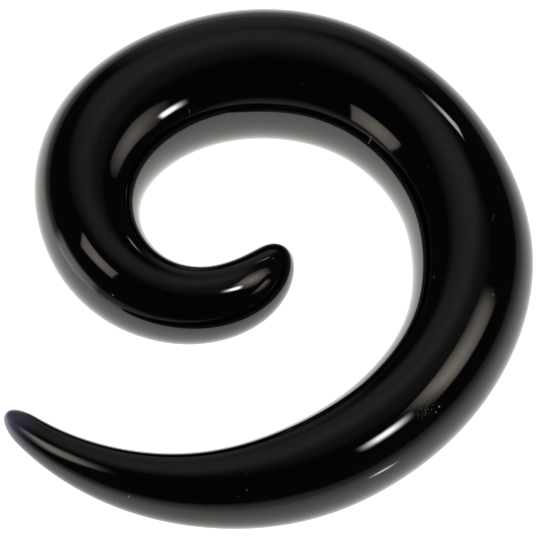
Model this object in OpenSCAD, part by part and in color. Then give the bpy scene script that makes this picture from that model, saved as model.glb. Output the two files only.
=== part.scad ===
// Spiral ear taper: one solid acrylic rod that swells and thins along its length, bent into a flat spiral.
// The thin tip leads, the thickest stretch sits in the ear lobe, and the rod goes on thinning
// inside the coil to a full rounded end.
// Millimetres, +Z up. The taper lies flat on the plane z = 0, leaning as little as its own thickness makes it.

/* [Gauge] */
// Diameter of the thickest section; all lengths below are for a 10 mm gauge and grow with this one
gauge_d = 10; // [6:0.5:16]

/* [Rod] */
// Length of the rod along its axis
rod_length = 116.3; // [114:0.1:120]
// Length of the rounding at the thin tip
tip_round = 2.3; // [1.2:0.1:3.2]
// Fullness of the tip's rounding, where 2 is half an ellipse
tip_fullness = 2.3; // [1.4:0.1:3]
// Length of the rounding at the inner end
inner_round = 7.0; // [4:0.1:8]
// Fullness of the inner end's rounding, where 2 is half an ellipse
inner_fullness = 3.0; // [1.6:0.1:3.4]

/* [Bend] */
// Compass direction in which the rod leaves its thin tip, from +X towards +Y
tip_heading = -49; // [-180:0.5:180]
// How tightly the rod is wound, against the bend radii in the table
winding = 1; // [0.9:0.01:1.04]

/* [Rest] */
// Lean of the spiral's plane as the rod lies on its three lowest places
rest_lean = 2.42; // [0:0.01:4]
// Compass direction of the side that leans down
rest_bearing = -109.0; // [-180:0.1:180]

/* [Facets] */
// Rings between the two rounded ends
body_rings = 86; // [40:1:110]
// Rings on each rounded end
end_rings = 8; // [4:1:12]
// Corners of each ring
ring_sides = 40; // [24:4:56]

/* [Hidden] */

acrylic_black = [0.035, 0.034, 0.040];

// The rod at even steps along its axis, from the thin tip to the inner end
row_pitch = 8;
BEND_RADIUS = 0;
DIAMETER = 1;
ROD = [
    [19.8,  2.0],
    [19.6,  3.9],
    [18.5,  5.6],
    [20.0,  7.2],
    [22.5,  7.9],
    [19.1,  8.4],
    [18.5,  9.2],
    [19.2,  9.2],
    [16.1,  9.5],
    [13.7, 10.0],
    [15.0,  9.8],
    [10.7,  9.3],
    [11.0,  7.7],
    [ 7.6,  6.4],
    [ 6.1,  5.3],
    [ 5.6,  2.9]
];

bends = [for (row = ROD) winding / row[BEND_RADIUS]];
diameters = [for (row = ROD) row[DIAMETER]];
gauge_scale = gauge_d / max(diameters);

// Smooth curve through evenly spaced values, at a place counted in rows: a cubic whose slope at each
// value is half the rise between its two neighbours
function through(values, place) =
    let (
        last = len(values) - 1,
        i = min(floor(place), last - 1),
        f = place - i,
        b = values[i],
        c = values[i + 1],
        a = i > 0 ? values[i - 1] : 2 * b - c,
        d = i + 2 <= last ? values[i + 2] : 2 * c - b
    )
    b + f / 2 * ((c - a) + f * ((2 * a - 5 * b + 4 * c - d) + f * (3 * b - a - 3 * c + d)));

// Width left by a rounding, from 1 where it starts to 0 at its pole
function rounding(share, fullness) = pow(1 - pow(share, fullness), 1 / fullness);

// Radius of the rod at a distance along its axis
function radius_at(s) =
    let (
        tip_share = max(0, tip_round - s) / tip_round,
        inner_share = min(1, max(0, s - rod_length + inner_round) / inner_round)
    )
    through(diameters, s / row_pitch) / 2
        * rounding(tip_share, tip_fullness) * rounding(inner_share, inner_fullness);

// Running total of a list, from a first value
function running(values, first) =
    [for (i = 0, sum = first; i <= len(values); sum = sum + (i < len(values) ? values[i] : 0), i = i + 1) sum];

// Distances along the axis at which the rings stand, closer together on the rounded ends
body_start = tip_round;
body_end = rod_length - inner_round;
stations = [
    for (i = [0 : end_rings - 1]) tip_round * (1 - cos(90 * i / end_rings)),
    for (i = [0 : body_rings - 1]) body_start + (body_end - body_start) * i / (body_rings - 1),
    for (i = [1 : end_rings]) body_end + inner_round * sin(90 * i / end_rings)
];
last_station = len(stations) - 1;
steps = [for (i = [1 : last_station]) stations[i] - stations[i - 1]];

// The axis walks from station to station, each step an arc with the bend at its middle
turns = [
    for (i = [0 : last_station - 1])
        steps[i] * through(bends, (stations[i] + steps[i] / 2) / row_pitch) * 180 / PI
];
chords = [for (i = [0 : last_station - 1]) steps[i] * sin(turns[i] / 2) / (turns[i] / 2 * PI / 180)];
headings = running(turns, tip_heading);
axis_x = running([for (i = [0 : last_station - 1]) chords[i] * cos(headings[i] + turns[i] / 2)], 0);
axis_y = running([for (i = [0 : last_station - 1]) chords[i] * sin(headings[i] + turns[i] / 2)], 0);

// A ring of points square to the axis; each rounded end closes in one pole point
function ring(i) =
    let (r = radius_at(stations[i]))
    [
        for (j = [0 : ring_sides - 1])
            let (a = 360 * j / ring_sides)
            [
                axis_x[i] - r * cos(a) * sin(headings[i]),
                axis_y[i] + r * cos(a) * cos(headings[i]),
                r * sin(a)
            ]
    ];
function pole(i) = [axis_x[i], axis_y[i], 0];

// The side at rest_bearing leans down by rest_lean
function leaned(p) =
    let (
        along = p.x * cos(rest_bearing) + p.y * sin(rest_bearing),
        shift = along * cos(rest_lean) + p.z * sin(rest_lean) - along
    )
    [
        p.x + shift * cos(rest_bearing),
        p.y + shift * sin(rest_bearing),
        p.z * cos(rest_lean) - along * sin(rest_lean)
    ];

ring_count = last_station - 1;
flat_points = concat([for (i = [1 : ring_count]) each ring(i)], [pole(0), pole(last_station)]);
rest_points = [for (p = flat_points) leaned(p)];

// The origin is the middle of the base of the box round the leaned rod
low = [for (k = [0 : 2]) min([for (p = rest_points) p[k]])];
high = [for (k = [0 : 2]) max([for (p = rest_points) p[k]])];
base_middle = [(low.x + high.x) / 2, (low.y + high.y) / 2, low.z];
taper_points = [for (p = rest_points) (p - base_middle) * gauge_scale];

// Faces between neighbouring rings, and a fan at each pole
tip_pole = ring_count * ring_sides;
inner_pole = tip_pole + 1;
last_ring = (ring_count - 1) * ring_sides;
function next_corner(j) = (j + 1) % ring_sides;
taper_faces = [
    for (i = [0 : ring_count - 2], j = [0 : ring_sides - 1])
        let (here = i * ring_sides, ahead = here + ring_sides)
        each [
            [here + j, ahead + next_corner(j), here + next_corner(j)],
            [here + j, ahead + j, ahead + next_corner(j)]
        ],
    for (j = [0 : ring_sides - 1]) [tip_pole, j, next_corner(j)],
    for (j = [0 : ring_sides - 1]) [inner_pole, last_ring + next_corner(j), last_ring + j]
];

module spiral_taper() {
    color(acrylic_black)
        polyhedron(points = taper_points, faces = taper_faces);
}

spiral_taper();
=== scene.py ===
"""Spiral ear taper in glossy black acrylic, lying flat on a white studio floor.

The rod is the same bent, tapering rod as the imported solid, worked out again on a much finer grid,
so that its gloss shows clean reflections of the lamps. Every length in this file is in
millimetres, and meshes are scaled to metres as the last step.
"""

import logging
import math
from dataclasses import dataclass, field
from enum import Enum

import bpy
import numpy as np
from mathutils import Matrix, Vector

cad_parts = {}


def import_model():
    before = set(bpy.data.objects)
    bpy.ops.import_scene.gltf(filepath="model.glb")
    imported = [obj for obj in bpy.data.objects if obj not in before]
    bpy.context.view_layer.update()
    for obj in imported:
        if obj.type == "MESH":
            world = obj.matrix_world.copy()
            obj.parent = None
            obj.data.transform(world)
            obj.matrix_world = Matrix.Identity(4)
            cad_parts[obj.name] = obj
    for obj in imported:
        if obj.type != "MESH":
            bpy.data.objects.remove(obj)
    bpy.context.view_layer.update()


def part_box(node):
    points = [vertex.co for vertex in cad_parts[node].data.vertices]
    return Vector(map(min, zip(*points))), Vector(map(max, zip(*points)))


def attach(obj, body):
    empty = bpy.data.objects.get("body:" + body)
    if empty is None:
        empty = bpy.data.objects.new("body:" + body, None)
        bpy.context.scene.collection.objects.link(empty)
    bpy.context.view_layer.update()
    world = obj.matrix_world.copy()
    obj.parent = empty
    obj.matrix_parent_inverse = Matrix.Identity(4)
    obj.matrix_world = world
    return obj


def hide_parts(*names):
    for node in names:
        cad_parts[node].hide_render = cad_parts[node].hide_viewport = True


LOG = logging.getLogger("spiral_taper_scene")

CAD_NODE = "spiral_taper"
CAD_BODY = "root"
STRAIGHT_ROD = "straight_rod"
METRES = 0.001

Triple = tuple[float, float, float]
Colour = tuple[float, float, float, float]
BLACK: Colour = (0.0, 0.0, 0.0, 1.0)

# The sockets of a Mix node that blends colours, by number, because their names repeat.
MIX_SHARE = 0
MIX_LOW = 6
MIX_HIGH = 7
MIX_RESULT = 2

# One row every eight millimetres of rod, from the tip: the radius of the axis' bend, the diameter.
BEND_RADIUS = 0
DIAMETER = 1
ROD_ROWS = (
    (19.8, 2.0),
    (19.6, 3.9),
    (18.5, 5.6),
    (20.0, 7.2),
    (22.5, 7.9),
    (19.1, 8.4),
    (18.5, 9.2),
    (19.2, 9.2),
    (16.1, 9.5),
    (13.7, 10.0),
    (15.0, 9.8),
    (10.7, 9.3),
    (11.0, 7.7),
    (7.6, 6.4),
    (6.1, 5.3),
    (5.6, 2.9),
)


def through(values: np.ndarray, place: np.ndarray) -> np.ndarray:
    """Smooth curve through evenly spaced values.

    Between two values the curve is a cubic whose slope at each value is half the rise between
    that value's two neighbours. Past either end the values go on in a straight line.

    Args:
        values: The evenly spaced values.
        place: Where to read the curve, counted in values from the first.

    Returns:
        The curve's height at each place.
    """
    ends = np.concatenate([[2 * values[0] - values[1]], values, [2 * values[-1] - values[-2]]])
    i = np.clip(np.floor(place).astype(int), 0, len(values) - 2)
    f = place - i
    a, b, c, d = (ends[i + k] for k in range(4))
    return b + f / 2 * ((c - a) + f * ((2 * a - 5 * b + 4 * c - d) + f * (3 * b - a - 3 * c + d)))


def rounding(share: np.ndarray, fullness: float) -> np.ndarray:
    """Width that a rounding leaves: (1 - share ^ fullness) ^ (1 / fullness), 0 at its pole."""
    return (1 - np.clip(share, 0, 1) ** fullness) ** (1 / fullness)


class MeshMaker:
    """Puts whole arrays of points and faces into Blender meshes."""

    @staticmethod
    def quads(rings: np.ndarray) -> np.ndarray:
        """Quads between closed rings of points.

        Args:
            rings: Point numbers, one row a ring.

        Returns:
            Rows of four: a point, its like in the next ring, then that one's and its own neighbour.
        """
        here, there = rings[:-1], rings[1:]
        corners = [here, there, np.roll(there, -1, 1), np.roll(here, -1, 1)]
        return np.stack(corners, -1).reshape(-1, 4)

    @staticmethod
    def fan(pole: int, starts: np.ndarray, ends: np.ndarray) -> np.ndarray:
        """Triangles from one pole to the edges that run from each start to its end."""
        return np.stack([np.full(len(starts), pole), starts, ends], -1)

    @staticmethod
    def make(
        name: str, points: np.ndarray, quads: np.ndarray, triangles: np.ndarray
    ) -> bpy.types.Object:
        """Makes a smooth-shaded object from arrays.

        Args:
            name: The object's name.
            points: Rows of x, y and z in metres.
            quads: Rows of four point numbers, seen anticlockwise from outside.
            triangles: Rows of three point numbers, likewise.

        Returns:
            The new object, linked to the scene.
        """
        mesh = bpy.data.meshes.new(name)
        corners = np.concatenate([quads.ravel(), triangles.ravel()]).astype(np.int32)
        counts = np.concatenate([np.full(len(quads), 4), np.full(len(triangles), 3)])
        starts = np.concatenate([[0], np.cumsum(counts)[:-1]]).astype(np.int32)
        mesh.vertices.add(len(points))
        mesh.vertices.foreach_set("co", points.astype(np.float32).ravel())
        mesh.loops.add(len(corners))
        mesh.loops.foreach_set("vertex_index", corners)
        mesh.polygons.add(len(counts))
        mesh.polygons.foreach_set("loop_start", starts)
        mesh.polygons.foreach_set("use_smooth", np.ones(len(counts), bool))
        mesh.update(calc_edges=True)
        mesh.validate()
        piece = bpy.data.objects.new(name, mesh)
        bpy.context.scene.collection.objects.link(piece)
        return piece


@dataclass
class RestingPlace:
    """How the flat spiral leans as it lies on its three lowest places."""

    lean: float = 2.42
    bearing: float = -109.0
    offset: np.ndarray = field(default_factory=lambda: np.zeros(3))

    def turned(self, vectors: np.ndarray) -> np.ndarray:
        """Leans directions or points about the origin.

        The part of a vector along the bearing and its height turn into each other by the lean.

        Args:
            vectors: Rows of x, y and z in the spiral's own plane.

        Returns:
            The same rows as the taper lies.
        """
        v = np.asarray(vectors, float)
        bearing, lean = math.radians(self.bearing), math.radians(self.lean)
        cb, sb, cl, sl = math.cos(bearing), math.sin(bearing), math.cos(lean), math.sin(lean)
        along = v[..., 0] * cb + v[..., 1] * sb
        shift = along * cl + v[..., 2] * sl - along
        height = v[..., 2] * cl - along * sl
        return np.stack([v[..., 0] + shift * cb, v[..., 1] + shift * sb, height], -1)

    def placed(self, points: np.ndarray) -> np.ndarray:
        """Leans points and moves them to the taper's place on the floor."""
        return self.turned(points) + self.offset

    def stand(self, thing: bpy.types.Object, place: np.ndarray, axes: np.ndarray) -> None:
        """Puts a lamp or a camera in its place and links it to the scene.

        Args:
            thing: The lamp's or the camera's object.
            place: Where it stands, in the spiral's own plane.
            axes: Its own x, y and z axes in that plane, one a row.
        """
        turn = Matrix(self.turned(axes).T.tolist()).to_4x4()
        thing.matrix_world = Matrix.Translation(Vector(self.placed(place) * METRES)) @ turn
        bpy.context.scene.collection.objects.link(thing)


@dataclass(frozen=True)
class Ripple:
    """One wave in the rod's surface.

    Its height is a share of the taper's ripple height, and its rate is how many times it repeats
    in the taper's ripple length. Turns says how often it repeats round the rod, and start, in
    radians, where it begins.
    """

    height: float
    rate: float
    turns: int
    start: float


@dataclass
class SpiralTaper:
    """The bent, tapering rod: its sizes, its surface, and the piece made from it."""

    name: str = "acrylic_rod"
    row_pitch: float = 8.0
    rod_length: float = 116.3
    tip_round: float = 2.3
    tip_fullness: float = 2.3
    inner_round: float = 7.0
    inner_fullness: float = 3.0
    tip_heading: float = -49.0
    rest: RestingPlace = field(default_factory=RestingPlace)
    body_rings: int = 560
    end_rings: int = 32
    ring_sides: int = 120
    ripple_height: float = 0.002
    ripple_length: float = 9.0
    ripples: tuple[Ripple, ...] = (
        Ripple(1.0, 1.0, 2, 0.0),
        Ripple(0.7, 1.61, -1, 1.3),
        Ripple(0.5, 0.57, 3, 4.1),
    )

    def __post_init__(self) -> None:
        """Reads the rows into bends (one over the bend radius) and diameters."""
        rows = np.array(ROD_ROWS)
        self.bends = 1 / rows[:, BEND_RADIUS]
        self.diameters = rows[:, DIAMETER]

    def stations(self) -> np.ndarray:
        """Distances along the axis at which rings stand, closer together on both rounded ends.

        Over a rounded end they stand where equal steps of a quarter turn do, seen from the side.

        Returns:
            The distances from the tip's pole to the inner end's pole.
        """
        quarter = np.linspace(0, math.pi / 2, self.end_rings + 1)
        body_end = self.rod_length - self.inner_round
        return np.concatenate([
            self.tip_round * (1 - np.cos(quarter[:-1])),
            np.linspace(self.tip_round, body_end, self.body_rings),
            body_end + self.inner_round * np.sin(quarter[1:]),
        ])

    def radius_at(self, along: np.ndarray) -> np.ndarray:
        """Half the diameter read from the rows, narrowed by the rounding at either end.

        Args:
            along: Distances along the axis.

        Returns:
            The radius at each distance.
        """
        tip_share = (self.tip_round - along) / self.tip_round
        inner_share = (along - self.rod_length + self.inner_round) / self.inner_round
        tip_left = rounding(tip_share, self.tip_fullness)
        inner_left = rounding(inner_share, self.inner_fullness)
        return through(self.diameters, along / self.row_pitch) / 2 * tip_left * inner_left

    def axis(self, along: np.ndarray) -> tuple[np.ndarray, np.ndarray, np.ndarray]:
        """Walks the axis from station to station, each step an arc with the bend at its middle.

        Args:
            along: Distances of the stations.

        Returns:
            The axis' x, its y and its heading in radians at each station.
        """
        steps = np.diff(along)
        turns = steps * through(self.bends, (along[:-1] + steps / 2) / self.row_pitch)
        heading = math.radians(self.tip_heading) + np.concatenate([[0], np.cumsum(turns)])
        chords = steps * np.sinc(turns / 2 / math.pi)
        middle = heading[:-1] + turns / 2
        x = np.concatenate([[0], np.cumsum(chords * np.cos(middle))])
        y = np.concatenate([[0], np.cumsum(chords * np.sin(middle))])
        return x, y, heading

    def surface(self) -> tuple[np.ndarray, np.ndarray]:
        """The rod's surface as a function of distance along the axis and angle round it.

        Each point is the axis point plus the radius times (cosine of the angle to the left of
        the heading, sine of the angle upwards). The same point of the straight rod, before it
        is bent, is (distance, radius times cosine, radius times sine), which the finish reads.

        Returns:
            The bent points and the straight points, rings by sides by three, poles as whole rings.
        """
        along = self.stations()
        x, y, heading = self.axis(along)
        radius = self.radius_at(along)
        angle = np.linspace(0, 2 * math.pi, self.ring_sides, endpoint=False)[None, :]
        s = along[:, None]
        reach = radius[:, None] + self.unevenness(s, angle, radius[:, None])
        left, up = reach * np.cos(angle), reach * np.sin(angle)
        bent = np.stack([
            x[:, None] - left * np.sin(heading)[:, None],
            y[:, None] + left * np.cos(heading)[:, None],
            up,
        ], -1)
        straight = np.stack([s + 0 * left, left, up], -1)
        return bent, straight

    def unevenness(self, s: np.ndarray, angle: np.ndarray, radius: np.ndarray) -> np.ndarray:
        """Hand polishing leaves the surface very slightly uneven.

        The sum of the ripples, each a sine of its rate times the distance plus its turns times the
        angle, times their height and the share of the full radius, so that it fades at both poles.

        Args:
            s: Distances along the axis, one a ring.
            angle: Angles round the axis, one a side.
            radius: The radius, one a ring.

        Returns:
            What is added to the radius at each ring and side.
        """
        k = 2 * math.pi / self.ripple_length
        waves = sum(
            one.height * np.sin(one.rate * k * s + one.turns * angle + one.start)
            for one in self.ripples
        )
        return self.ripple_height * waves * radius / (self.diameters.max() / 2)

    def build(self) -> bpy.types.Object:
        """Makes the rod's mesh: quads between rings, a fan at each pole.

        Returns:
            The rod's object, at the origin, its place in its mesh.
        """
        bent, straight = self.surface()
        self.settle(bent)
        rings, sides = bent.shape[0] - 2, self.ring_sides
        here = np.arange(rings * sides).reshape(rings, sides)
        tip, inner = rings * sides, rings * sides + 1
        first, last = here[0], here[-1]
        fans = np.concatenate([
            MeshMaker.fan(tip, first, np.roll(first, -1)),
            MeshMaker.fan(inner, np.roll(last, -1), last),
        ])
        points = self.rest.placed(self.listed(bent)) * METRES
        piece = MeshMaker.make(self.name, points, MeshMaker.quads(here), fans)
        store = piece.data.attributes.new(STRAIGHT_ROD, "FLOAT_VECTOR", "POINT")
        store.data.foreach_set("vector", self.listed(straight).astype(np.float32).ravel())
        return piece

    @staticmethod
    def listed(grid: np.ndarray) -> np.ndarray:
        """Points of a grid as rows: the rings between the poles, then each pole once."""
        return np.concatenate([grid[1:-1].reshape(-1, 3), grid[:1, 0], grid[-1:, 0]])

    def settle(self, bent: np.ndarray) -> None:
        """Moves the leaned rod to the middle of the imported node's box, standing on its base.

        Args:
            bent: The bent surface in the spiral's own plane.
        """
        leaned = self.rest.turned(bent).reshape(-1, 3)
        low, high = leaned.min(0), leaned.max(0)
        box_low, box_high = (np.array(corner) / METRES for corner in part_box(CAD_NODE))
        middle = (box_low + box_high) / 2 - (low + high) / 2
        self.rest.offset = np.array([middle[0], middle[1], box_low[2] - low[2]])

    def dress(self, piece: bpy.types.Object, finish: "GlossAcrylic") -> None:
        """Gives the rod its finish and its body, and hides the node that it stands for.

        Args:
            piece: The rod's object.
            finish: What its surface looks like.
        """
        piece.data.materials.append(finish.material())
        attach(piece, CAD_BODY)
        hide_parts(CAD_NODE)


class Wire:
    """A shader socket that can be used in ordinary arithmetic."""

    def __init__(self, tree: "NodeTree", socket: bpy.types.NodeSocket) -> None:
        """Keeps the socket and the tree that new Math nodes go into."""
        self.tree = tree
        self.socket = socket

    def __add__(self, other: "Wire | float") -> "Wire":
        """Sum."""
        return self.tree.math("ADD", self, other)

    def __sub__(self, other: "Wire | float") -> "Wire":
        """Difference."""
        return self.tree.math("SUBTRACT", self, other)

    def __rsub__(self, other: float) -> "Wire":
        """Difference the other way round."""
        return self.tree.math("SUBTRACT", other, self)

    def __mul__(self, other: "Wire | float") -> "Wire":
        """Product."""
        return self.tree.math("MULTIPLY", self, other)

    def __truediv__(self, other: "Wire | float") -> "Wire":
        """Quotient."""
        return self.tree.math("DIVIDE", self, other)

    def __rtruediv__(self, other: float) -> "Wire":
        """Quotient the other way round."""
        return self.tree.math("DIVIDE", other, self)

    def __pow__(self, other: "Wire | float") -> "Wire":
        """Power."""
        return self.tree.math("POWER", self, other)

    def __rpow__(self, other: float) -> "Wire":
        """Power the other way round."""
        return self.tree.math("POWER", other, self)

    __radd__ = __add__
    __rmul__ = __mul__

    def rise(self, start: float, end: float) -> "Wire":
        """A soft step from 0 at start to 1 at end.

        Args:
            start: Where the step begins.
            end: Where it ends; below start, the step falls instead.

        Returns:
            The step's height.
        """
        return self.tree.node(
            "ShaderNodeMapRange",
            {"interpolation_type": "SMOOTHSTEP"},
            {"Value": self, "From Min": start, "From Max": end},
        )["Result"]


class NodeOutputs:
    """The outputs of one node, by name or number, as wires."""

    def __init__(self, tree: "NodeTree", node: bpy.types.Node) -> None:
        """Keeps the node and its tree."""
        self.tree = tree
        self.node = node

    def __getitem__(self, key: str | int) -> Wire:
        """One output as a wire."""
        return Wire(self.tree, self.node.outputs[key])


class NodeTree:
    """Builds the nodes of one material, world or light."""

    def __init__(self, owner: bpy.types.Material | bpy.types.World | bpy.types.Light) -> None:
        """Empties the owner's node tree.

        Args:
            owner: What the nodes belong to.
        """
        owner.use_nodes = True
        self.tree = owner.node_tree
        self.tree.nodes.clear()

    def node(
        self, kind: str, settings: dict | None = None, inputs: dict | None = None
    ) -> NodeOutputs:
        """Adds a node: its settings first, then the values or links of its sockets.

        Args:
            kind: The node's type.
            settings: Properties to set on the node.
            inputs: Socket names or numbers, with a wire or a plain value each.

        Returns:
            The node's outputs.
        """
        made = self.tree.nodes.new(kind)
        for key, value in (settings or {}).items():
            setattr(made, key, value)
        for key, value in (inputs or {}).items():
            if isinstance(value, Wire):
                self.tree.links.new(value.socket, made.inputs[key])
            else:
                made.inputs[key].default_value = value
        return NodeOutputs(self, made)

    def math(self, operation: str, *values: Wire | float) -> Wire:
        """The result of one Math node on wires or plain numbers."""
        return self.node("ShaderNodeMath", {"operation": operation}, dict(enumerate(values)))[0]

    def vectors(self, operation: str, first: Triple | Wire, second: Triple | Wire) -> NodeOutputs:
        """The outputs, Vector and Value, of one Vector Math node on two vectors."""
        return self.node("ShaderNodeVectorMath", {"operation": operation}, {0: first, 1: second})

    def scaled(self, vector: Triple, factor: Wire) -> Wire:
        """A vector, or a colour, times a number."""
        inputs = {0: vector, "Scale": factor}
        return self.node("ShaderNodeVectorMath", {"operation": "SCALE"}, inputs)["Vector"]

    def mixed(self, share: Wire, low: Colour | Wire, high: Colour | Wire) -> Wire:
        """Blends two colours.

        Args:
            share: 0 for the first colour, 1 for the second.
            low: The first colour.
            high: The second colour.

        Returns:
            The blended colour.
        """
        inputs = {MIX_SHARE: share, MIX_LOW: low, MIX_HIGH: high}
        return self.node("ShaderNodeMix", {"data_type": "RGBA"}, inputs)[MIX_RESULT]

    def noise(self, place: Wire, scale: float, detail: float) -> Wire:
        """Soft clouds between 0 and 1."""
        inputs = {"Vector": place, "Scale": scale, "Detail": detail}
        return self.node("ShaderNodeTexNoise", inputs=inputs)["Fac"]

    def cells(self, place: Wire, spacing: float) -> Wire:
        """Distance to the nearest of many scattered points, as a share of their spacing."""
        inputs = {"Vector": place, "Scale": 1 / spacing}
        return self.node("ShaderNodeTexVoronoi", {"feature": "F1"}, inputs)["Distance"]


@dataclass(frozen=True)
class Mark:
    """A speck or a short fibre on the gloss.

    Its centre is a place on the straight rod: along, to the left of and above the axis. A fibre
    runs its half length either way along its lie. A mark has its full strength within a share of
    its reach, its core, and fades to nothing at its reach.
    """

    centre: Triple
    reach: float
    strength: float
    half_length: float = 0.0
    lie: Triple = (1.0, 0.0, 0.0)
    core: float = 0.3


@dataclass(frozen=True)
class Scuff:
    """A small patch where the gloss is rubbed and grainy.

    It is strongest within a share of its reach, its core. Its grains stand a grain apart, and
    each fades from its own core to its edge, both shares of that distance.
    """

    centre: Triple = (33.1, -2.2, 3.3)
    reach: float = 1.2
    core: float = 0.3
    grain: float = 0.14
    grain_edge: float = 0.45
    grain_core: float = 0.1
    strength: float = 0.14


@dataclass(frozen=True)
class GlossAcrylic:
    """Polished black acrylic, a little see-through and violet where the rod is thinnest.

    Its warmth, dullness and swell follow soft clouds. Each has a scale, in clouds to a millimetre,
    and a detail, in finer layers, and a step gives the heights of cloud between which it comes.
    """

    name: str = "gloss_black_acrylic"
    body: Colour = (0.0016, 0.0013, 0.0011, 1.0)
    warm: Colour = (0.0034, 0.0018, 0.0013, 1.0)
    warm_scale: float = 0.16
    warm_detail: float = 3.0
    warm_step: tuple[float, float] = (0.45, 0.75)
    tip: Colour = (0.215, 0.192, 0.365, 1.0)
    tip_reach: float = 6.0
    tip_falloff: float = 3.2
    speck: Colour = (0.30, 0.27, 0.26, 1.0)
    speck_spacing: float = 1.9
    speck_size: float = 0.055
    speck_core: float = 0.35
    ior: float = 1.49
    gloss: float = 0.025
    dull: float = 0.07
    dull_scale: float = 0.9
    dull_detail: float = 5.0
    dull_step: tuple[float, float] = (0.35, 0.8)
    dusty: float = 0.4
    swell: float = 0.2
    swell_scale: float = 0.45
    swell_detail: float = 2.0
    relief: float = 0.02
    dust: Colour = (0.80, 0.76, 0.74, 1.0)
    marks: tuple[Mark, ...] = (
        Mark((34.0, -2.85, 2.83), 0.11, 0.35),
        Mark((33.6, -2.95, 2.72), 0.08, 0.2),
        Mark((43.8, 2.61, 3.54), 0.11, 0.4),
        Mark((43.1, -2.05, 3.85), 0.12, 0.3),
        Mark((49.1, -1.52, 4.36), 0.09, 0.12, 0.25, (0.9, -0.3, -0.1)),
        Mark((102.6, -2.58, 2.06), 0.10, 0.25),
        Mark((11.6, -2.05, 1.12), 0.11, 0.35),
        Mark((19.5, -1.94, 2.52), 0.11, 0.25),
        Mark((19.6, -0.90, 3.05), 0.10, 0.15),
        Mark((18.9, -2.20, 2.25), 0.09, 0.15),
        Mark((55.9, 0.32, 4.59), 0.11, 0.3),
        Mark((61.4, 3.98, 2.45), 0.08, 0.3, 0.28, (-0.12, 0.51, -0.85)),
        Mark((82.15, 4.06, 2.57), 0.07, 0.12, 0.50, (0.35, 0.46, -0.82)),
    )
    scuff: Scuff = Scuff()

    def material(self) -> bpy.types.Material:
        """Makes the finish from the rod's straight coordinates, which follow its bend.

        The colour goes from body to warm with the clouds, to the tip's colour with the closeness
        to the tip to the power of the falloff, then to the specks' and the marks' colours. The
        roughness goes from gloss to dull with the clouds, plus what specks and marks add.

        Returns:
            The material.
        """
        made = bpy.data.materials.new(self.name)
        tree = NodeTree(made)
        place = tree.node("ShaderNodeAttribute", {"attribute_name": STRAIGHT_ROD})["Vector"]
        along = tree.node("ShaderNodeSeparateXYZ", inputs={0: place})["X"]

        warmer = tree.noise(place, self.warm_scale, self.warm_detail).rise(*self.warm_step)
        colour = tree.mixed(warmer, self.body, self.warm)
        colour = tree.mixed(along.rise(self.tip_reach, 0.0) ** self.tip_falloff, colour, self.tip)
        away = tree.cells(place, self.speck_spacing) * self.speck_spacing
        specks = away.rise(self.speck_size, self.speck_core * self.speck_size)
        colour = tree.mixed(specks, colour, self.speck)
        marked = self.scuffed(tree, place)
        for mark in self.marks:
            marked = marked + self.marking(tree, place, mark)
        colour = tree.mixed(marked, colour, self.dust)

        duller = tree.noise(place, self.dull_scale, self.dull_detail).rise(*self.dull_step)
        polish = duller * (self.dull - self.gloss) + self.gloss
        roughness = polish + specks * self.dusty + marked * self.dusty
        height = tree.noise(place, self.swell_scale, self.swell_detail) * self.swell + specks
        bump = {"Strength": self.relief, "Distance": METRES, "Height": height}

        shader = tree.node("ShaderNodeBsdfPrincipled", inputs={
            "Base Color": colour,
            "Roughness": roughness,
            "IOR": self.ior,
            "Normal": tree.node("ShaderNodeBump", inputs=bump)["Normal"],
        })
        tree.node("ShaderNodeOutputMaterial", inputs={"Surface": shader["BSDF"]})
        return made

    def marking(self, tree: NodeTree, place: Wire, mark: Mark) -> Wire:
        """How much of a place one mark covers, from its distance to the mark's middle line.

        Args:
            tree: The material's nodes.
            place: The place on the straight rod.
            mark: The mark.

        Returns:
            The mark's strength on its middle line, 0 past its reach.
        """
        away = tree.vectors("SUBTRACT", place, mark.centre)["Vector"]
        along = tree.vectors("DOT_PRODUCT", away, mark.lie)["Value"]
        half = mark.half_length
        kept = tree.math("MAXIMUM", tree.math("MINIMUM", along, half), -half)
        gap = tree.vectors("DISTANCE", away, tree.scaled(mark.lie, kept))["Value"]
        return gap.rise(mark.reach, mark.core * mark.reach) * mark.strength

    def scuffed(self, tree: NodeTree, place: Wire) -> Wire:
        """Grains of the rubbed patch: small round cells that thin out away from its middle.

        Args:
            tree: The material's nodes.
            place: The place on the straight rod.

        Returns:
            How much of a place the grains cover.
        """
        scuff = self.scuff
        away = tree.vectors("DISTANCE", place, scuff.centre)["Value"]
        near = away.rise(scuff.reach, scuff.core * scuff.reach)
        grains = tree.cells(place, scuff.grain).rise(scuff.grain_edge, scuff.grain_core)
        return near * grains * scuff.strength


@dataclass(frozen=True)
class PaintedLightPatch:
    """A round patch of painted light on the floor outside the picture, which the rod reflects."""

    centre: Triple
    reach: float
    glow: float


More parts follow.
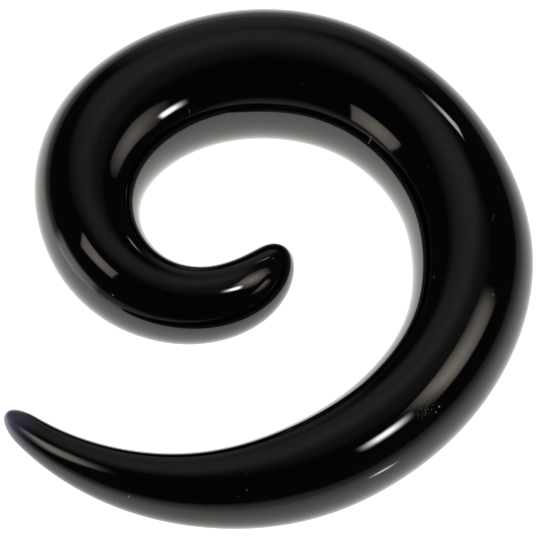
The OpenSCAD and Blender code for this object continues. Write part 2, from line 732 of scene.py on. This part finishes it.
@dataclass(frozen=True)
class PaleFloor:
    """White sheet with painted light: its glow is a painted pool of light round the taper, bright
    enough to hide the taper's shadow, and dimmer far from it.
    """

    name: str = "studio_floor"
    radius: float = 3000.0
    rings: int = 24
    sides: int = 72
    white: Colour = (0.75, 0.75, 0.75, 1.0)
    roughness: float = 0.6
    tint: Triple = (1.01, 1.01, 0.97)
    pool_centre: Triple = (-14.0, 4.0, 0.0)
    pool_reach: float = 44.0
    pool_falloff: float = 3.2
    painted_pool_glow: float = 1.7
    far_glow: float = 0.28
    painted_light_patches: tuple[PaintedLightPatch, ...] = (
        # painted glint: a lamp's reflection in the floor, painted as glow
        PaintedLightPatch((20.6, -28.7, 0.0), 3.2, 13.0),
        # painted pool of light in front of the taper, seen in the rod's near rims
        PaintedLightPatch((-90.0, -260.0, 0.0), 250.0, 0.7),
    )

    def build(self) -> None:
        """Makes a flat disc at floor height.

        Ring k has the radius times (k / rings) squared, so the disc is finest at the middle.
        """
        reach = self.radius * (np.arange(1, self.rings + 1) / self.rings) ** 2
        angle = np.linspace(0, 2 * math.pi, self.sides, endpoint=False)
        grid = np.stack([
            reach[:, None] * np.cos(angle),
            reach[:, None] * np.sin(angle),
            np.zeros((self.rings, self.sides)),
        ], -1)
        points = np.concatenate([grid.reshape(-1, 3), [[0, 0, 0]]]) * METRES
        here = np.arange(self.rings * self.sides).reshape(self.rings, self.sides)
        fan = MeshMaker.fan(self.rings * self.sides, here[0], np.roll(here[0], -1))
        floor = MeshMaker.make(self.name, points, MeshMaker.quads(here), fan)
        floor.data.materials.append(self.material())

    def distance(self, tree: NodeTree, place: Wire, centre: Triple) -> Wire:
        """How far a place on the floor is from a centre, in millimetres."""
        return tree.vectors("DISTANCE", place, tuple(METRES * c for c in centre))["Value"] / METRES

    def material(self) -> bpy.types.Material:
        """White sheet with painted light: pool / (1 + (distance / reach) ^ falloff) + far glow +
        each painted patch.

        Returns:
            The material.
        """
        made = bpy.data.materials.new(self.name)
        tree = NodeTree(made)
        place = tree.node("ShaderNodeTexCoord")["Object"]
        away = self.distance(tree, place, self.pool_centre) / self.pool_reach
        # painted pool of light round the taper, which hides its shadow on the floor
        glow = self.painted_pool_glow / (away**self.pool_falloff + 1.0) + self.far_glow
        # each patch adds its painted light to the floor's glow
        for patch in self.painted_light_patches:
            away = self.distance(tree, place, patch.centre)
            glow = glow + away.rise(patch.reach, 0.0) * patch.glow
        shader = tree.node("ShaderNodeBsdfPrincipled", inputs={
            "Base Color": self.white,
            "Roughness": self.roughness,
            "Emission Color": tree.scaled(self.tint, glow),
            "Emission Strength": 1.0,
        })
        tree.node("ShaderNodeOutputMaterial", inputs={"Surface": shader["BSDF"]})
        return made


class Tint(Enum):
    """Colours of the lamps' light."""

    WHITE = (1.0, 1.0, 1.0, 1.0)
    BEIGE = (1.09, 1.0, 0.86, 1.0)
    VIOLET = (1.0, 0.93, 1.0, 1.0)


@dataclass(frozen=True)
class Lamp:
    """A rectangular lamp, placed in the spiral's own plane, with a grid in front.

    Places are counted from the point that the camera aims at. The lamp faces its aim, and along
    is the way that its length runs. Its radiance is how bright it looks straight ahead, where 1
    shows as white. The grid lets light out only close to the way the lamp faces: straight ahead
    at full strength, at the grid's angle, in degrees, none. The lamp is dimmer towards its edges:
    soft gives how far that reaches in from where its length starts, from where it ends and from
    both sides, as shares of half its size.
    """

    name: str
    centre: Triple
    aim: Triple
    along: Triple
    half_length: float
    half_width: float
    radiance: float
    grid: float
    soft: Triple
    tint: Tint = Tint.WHITE

    def power(self) -> float:
        """Watts that give the lamp its radiance straight ahead.

        The radiance times pi and the lamp's area, times the share (tan g - g) / tan g that a
        grid of half angle g leaves, with which Blender brightens what a grid lets out.

        Returns:
            The lamp's power.
        """
        area = 4 * self.half_length * self.half_width * METRES**2
        grid = math.radians(self.grid)
        return self.radiance * math.pi * area * (math.tan(grid) - grid) / math.tan(grid)

    def build(self, rest: RestingPlace, origin: np.ndarray) -> None:
        """Makes the lamp.

        Args:
            rest: How the spiral's plane leans.
            origin: The point of the plane that the lamp's places are counted from.
        """
        data = bpy.data.lights.new(self.name, "AREA")
        data.shape = "RECTANGLE"
        data.size = 2 * self.half_length * METRES
        data.size_y = 2 * self.half_width * METRES
        data.spread = math.radians(2 * self.grid)
        data.energy = self.power()
        self.dim_edges(data)
        lamp = bpy.data.objects.new(self.name, data)
        centre = np.array(self.centre, float)
        away = centre - np.array(self.aim, float)
        away /= np.linalg.norm(away)
        along = np.array(self.along, float)
        along -= along.dot(away) * away
        along /= np.linalg.norm(along)
        lamp.visible_camera = False
        rest.stand(lamp, origin + centre, np.stack([along, np.cross(away, along), away]))

    def dim_edges(self, data: bpy.types.Light) -> None:
        """Gives the lamp its tint and its dimmer edges, from its own coordinates.

        The tint times one soft step in from each end and from each side.

        Args:
            data: The light.
        """
        tree = NodeTree(data)
        place = tree.node("ShaderNodeTexCoord")["Object"]
        parts = tree.node("ShaderNodeSeparateXYZ", inputs={0: place})
        length = parts["X"] / (self.half_length * METRES)
        width = parts["Y"] / (self.half_width * METRES)
        near, far, sides = self.soft
        share = length.rise(-1, near - 1) * length.rise(1, 1 - far)
        share = share * width.rise(-1, sides - 1) * width.rise(1, 1 - sides)
        colour = tree.mixed(share, BLACK, self.tint.value)
        light = tree.node("ShaderNodeEmission", inputs={"Color": colour, "Strength": 1.0})
        tree.node("ShaderNodeOutputLight", inputs={"Surface": light["Emission"]})


@dataclass(frozen=True)
class PaleWall:
    """A soft-edged lighter part of the room: where it lies, how wide it is and how bright."""

    towards: Triple
    inner_angle: float
    outer_angle: float
    glow: float


@dataclass(frozen=True)
class Surroundings:
    """A dim room with a few lighter parts behind and above the taper.

    It is paler along the horizon, up to the horizon's height, where a look straight up has height
    1. On the high side, in front and to the left, that reaches higher and is brighter.
    """

    name: str = "dim_room"
    dark: float = 0.028
    horizon_glow: float = 0.26
    horizon_height: float = 0.125
    high_side: Triple = (-0.45, -0.89, 0.0)
    high_side_step: tuple[float, float] = (0.2, 0.8)
    high_side_height: float = 0.22
    high_side_glow: float = 0.2
    tint: Triple = (0.99, 0.99, 1.02)
    walls: tuple[PaleWall, ...] = (
        PaleWall((-0.20, 0.55, 0.80), 8.0, 30.0, 0.17),
        PaleWall((-0.15, 0.68, 0.72), 5.0, 26.0, 0.10),
        PaleWall((0.10, 0.30, 0.95), 6.0, 30.0, 0.11),
        PaleWall((0.02, 0.97, 0.22), 8.0, 26.0, 0.24),
    )

    def build(self) -> None:
        """Makes the world: dark, plus the horizon's glow, plus each wall's.

        The horizon's glow falls softly from its full strength at no height to none at its height.
        A wall's falls from its inner angle to its outer angle away from its middle.
        """
        world = bpy.data.worlds.new(self.name)
        bpy.context.scene.world = world
        tree = NodeTree(world)
        look = tree.node("ShaderNodeTexCoord")["Generated"]
        height = tree.node("ShaderNodeSeparateXYZ", inputs={0: look})["Z"]
        side = tree.vectors("DOT_PRODUCT", look, self.high_side)["Value"].rise(*self.high_side_step)
        top = side * (self.high_side_height - self.horizon_height) + self.horizon_height
        band = side * self.high_side_glow + self.horizon_glow
        glow = (height / top).rise(1.0, 0.0) * band + self.dark
        for wall in self.walls:
            centre = np.array(wall.towards) / np.linalg.norm(wall.towards)
            edge, full = (math.cos(math.radians(a)) for a in (wall.outer_angle, wall.inner_angle))
            close = tree.vectors("DOT_PRODUCT", look, tuple(centre))["Value"]
            glow = close.rise(edge, full) * wall.glow + glow
        colour = tree.scaled(self.tint, glow)
        ground = tree.node("ShaderNodeBackground", inputs={"Color": colour, "Strength": 1.0})
        tree.node("ShaderNodeOutputWorld", inputs={"Surface": ground["Background"]})


@dataclass(frozen=True)
class PhotoCamera:
    """The camera of the photograph: long lens, looking down on the spiral's plane at a slant."""

    name: str = "photo_camera"
    elevation: float = 56.0
    distance: float = 600.0
    frame_width: float = 40.240
    aim: Triple = (19.373, 12.937, 0.0)
    sensor: float = 36.0
    nearest: float = 50.0
    farthest: float = 10000.0

    def build(self, rest: RestingPlace) -> None:
        """Makes the camera and sets it as the scene's.

        Args:
            rest: How the spiral's plane leans and where it lies.
        """
        data = bpy.data.cameras.new(self.name)
        data.sensor_width = self.sensor
        data.lens = self.sensor * self.distance / self.frame_width
        data.clip_start = self.nearest * METRES
        data.clip_end = self.farthest * METRES
        camera = bpy.data.objects.new(self.name, data)
        slope = math.radians(self.elevation)
        axes = np.array([
            [1.0, 0.0, 0.0],
            [0.0, math.sin(slope), math.cos(slope)],
            [0.0, -math.cos(slope), math.sin(slope)],
        ])
        rest.stand(camera, np.array(self.aim) + axes[2] * self.distance, axes)
        bpy.context.scene.camera = camera


@dataclass
class Studio:
    """Floor, lamps, surroundings and camera round the taper."""

    floor: PaleFloor = PaleFloor()
    surroundings: Surroundings = Surroundings()
    camera: PhotoCamera = PhotoCamera()
    lamps: tuple[Lamp, ...] = (
        Lamp(
            "outer_limb_lamp",
            centre=(25.9, -9.4, 17.1), aim=(13.9, -9.9, 3.7), along=(0.12, 0.97, -0.19),
            half_length=11.0, half_width=6.5, radiance=3.8, grid=23, soft=(0.8, 0.3, 0.22),
            tint=Tint.BEIGE,
        ),
        Lamp(
            "inner_limb_lamp",
            centre=(8.0, 8.8, 16.4), aim=(-10.1, 8.9, 3.7), along=(0.26, -0.94, -0.22),
            half_length=8.2, half_width=5.5, radiance=2.2, grid=24, soft=(0.2, 0.13, 0.22),
            tint=Tint.BEIGE,
        ),
        Lamp(
            "inner_bend_lamp",
            centre=(3.6, -0.1, 10.0), aim=(-0.8, -2.5, 2.4), along=(0.15, 0.89, -0.42),
            half_length=7.2, half_width=3.3, radiance=3.4, grid=20, soft=(0.3, 0.3, 0.25),
            tint=Tint.BEIGE,
        ),
        Lamp(
            "top_limb_lamp",
            centre=(-13.0, 3.4, 12.6), aim=(8.1, 10.3, 3.3), along=(-0.36, 0.92, -0.13),
            half_length=4.15, half_width=6.3, radiance=2.7, grid=30, soft=(0.15, 0.15, 0.22),
            tint=Tint.BEIGE,
        ),
        Lamp(
            "left_limb_lamp",
            centre=(-24.9, -2.4, 18.7), aim=(-12.6, -1.2, 3.0), along=(-0.49, 0.82, -0.29),
            half_length=5.7, half_width=4.1, radiance=2.8, grid=24, soft=(0.15, 0.15, 0.22),
            tint=Tint.BEIGE,
        ),
        Lamp(
            "left_card",
            centre=(-31, -4, 1.5), aim=(0, 0, 1.5), along=(0, 1, 0),
            half_length=9, half_width=5, radiance=2.1, grid=38, soft=(0.4, 0.4, 0.6),
        ),
        Lamp(
            "upper_limb_lamp",
            centre=(14.7, -1.8, 18.7), aim=(-6.9, 12.1, 3.5), along=(-0.63, -0.75, 0.19),
            half_length=4.0, half_width=3.7, radiance=48, grid=19, soft=(0.35, 1.6, 0.9),
            tint=Tint.VIOLET,
        ),
        Lamp(
            "lower_limb_lamp",
            centre=(24, -24.6, 22.9), aim=(9.3, -18, 2.4), along=(0.62, 0.77, -0.18),
            half_length=6.2, half_width=4.6, radiance=34, grid=16, soft=(0.9, 0.9, 0.9),
            tint=Tint.VIOLET,
        ),
        Lamp(
            "inner_end_lamp",
            centre=(8.1, -2.7, 30.6), aim=(-2.8, -3.7, 2.7), along=(0.89, 0.3, -0.35),
            half_length=4.6, half_width=3.3, radiance=42, grid=14, soft=(1.3, 0.6, 0.9),
            tint=Tint.VIOLET,
        ),
        Lamp(
            "back_right_lamp",
            centre=(21.9, 31.6, 21.3), aim=(13, 11.1, 4.5), along=(0.95, -0.2, -0.25),
            half_length=4.8, half_width=1.8, radiance=10, grid=14, soft=(1.5, 0.25, 0.6),
            tint=Tint.VIOLET,
        ),
        Lamp(
            "back_left_lamp",
            centre=(1.7, 22.6, 14.7), aim=(-9.9, -0.1, 3.2), along=(-0.91, 0.32, 0.28),
            half_length=1.3, half_width=0.8, radiance=6, grid=9, soft=(0.3, 1.3, 0.6),
        ),
        Lamp(
            "inner_back_lamp",
            centre=(6, 24.2, 17.3), aim=(-0.6, -1, 2.3), along=(-0.92, 0.01, 0.39),
            half_length=4.7, half_width=0.9, radiance=2.8, grid=13, soft=(0.3, 1.2, 0.6),
        ),
        Lamp(
            "thin_limb_lamp",
            centre=(-24.9, -18.4, 11.3), aim=(-14.7, -17.4, 1.5), along=(0.77, -0.19, 0.61),
            half_length=9.5, half_width=4.6, radiance=4.0, grid=24, soft=(0.9, 0.68, 0.6),
            tint=Tint.BEIGE,
        ),
    )

    def build(self, rest: RestingPlace) -> None:
        """Sets up everything that isn't part of the taper.

        Args:
            rest: How the spiral's plane leans and where it lies.
        """
        bpy.context.scene.view_settings.view_transform = "Standard"
        self.surroundings.build()
        self.floor.build()
        origin = np.array(self.camera.aim)
        for lamp in self.lamps:
            lamp.build(rest, origin)
        self.camera.build(rest)
        LOG.info("studio: %d lamps round the taper", len(self.lamps))


def main() -> None:
    """Builds the taper and the studio round it, in order."""
    logging.basicConfig(level=logging.INFO, format="%(name)s: %(message)s")
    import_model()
    taper = SpiralTaper()
    piece = taper.build()
    taper.dress(piece, GlossAcrylic())
    mesh = piece.data
    LOG.info("%s: %d points, %d faces", piece.name, len(mesh.vertices), len(mesh.polygons))
    Studio().build(taper.rest)


if __name__ == "__main__":
    main()
